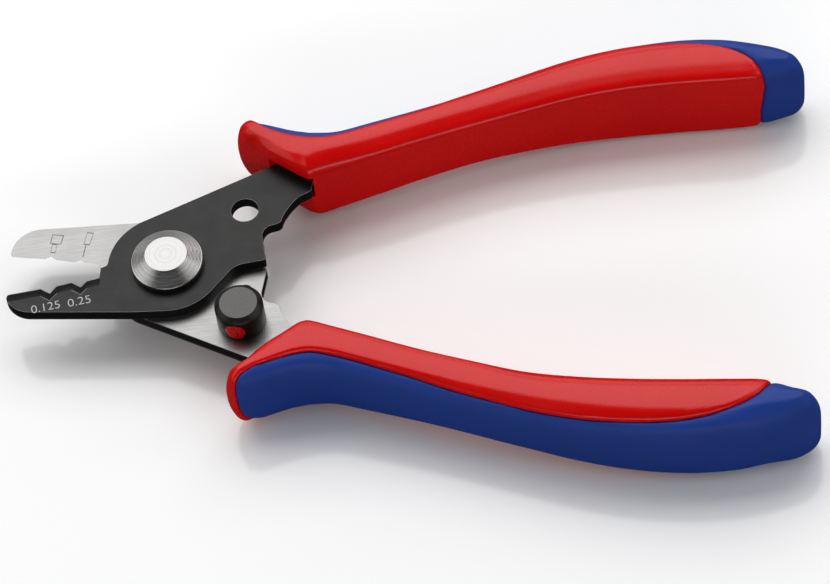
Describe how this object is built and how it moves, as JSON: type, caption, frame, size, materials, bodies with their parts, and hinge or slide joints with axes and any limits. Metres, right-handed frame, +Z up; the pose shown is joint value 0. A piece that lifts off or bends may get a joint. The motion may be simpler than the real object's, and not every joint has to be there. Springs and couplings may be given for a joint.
{
  "type": "fibre stripping pliers",
  "caption": "Hand stripping pliers: two flat steel levers on a bolted pivot with an opening spring, notched stripping jaws, a sealed closing stop and two-part moulded handles.",
  "frame": {"origin": "middle of the base of the bounding box with the tool open and lying flat", "axes": "+X from the jaws towards the handles, +Y towards the dark lever's handle, +Z up, along the pivot"},
  "size_m": [0.126, 0.0764, 0.0146],
  "materials": {
    "burnished_steel": "satin burnished, dark grey",
    "ground_steel": "bright, fine ground grain along the tool",
    "turned_steel": "bright, turned rings",
    "black_oxide": "black oxide, satin",
    "spring_wire": "drawn wire",
    "red_lacquer": "brushed-on sealing lacquer",
    "red_plastic": "satin gloss hard plastic",
    "blue_soft_plastic": "matt soft plastic, fine grain"
  },
  "bodies": {
    "bright_side": {"bright_jaw_lever": "ground_steel", "pivot_bolt": "turned_steel", "head_washer": "black_oxide", "nut_washer": "black_oxide", "pivot_nut": "black_oxide", "opening_spring": "spring_wire", "stop_post": "black_oxide", "stop_set_screw": "black_oxide", "sealing_lacquer": "red_lacquer", "lower_handle_core": "red_plastic", "lower_soft_grip": "blue_soft_plastic"},
    "dark_side": {"dark_jaw_lever": "burnished_steel", "upper_handle_core": "red_plastic", "upper_soft_grip": "blue_soft_plastic"}
  },
  "joints": [
    {"name": "jaw_pivot", "type": "hinge", "parent": "bright_side", "child": "dark_side", "pos_m": [-0.03745, 0, 0.0073], "axis": [0, 0, -1], "range_deg": [0, 20.25], "stiffness_Nm_per_rad": 0.8, "springref_deg": -8.59, "deforming": ["opening_spring"]}
  ]
}
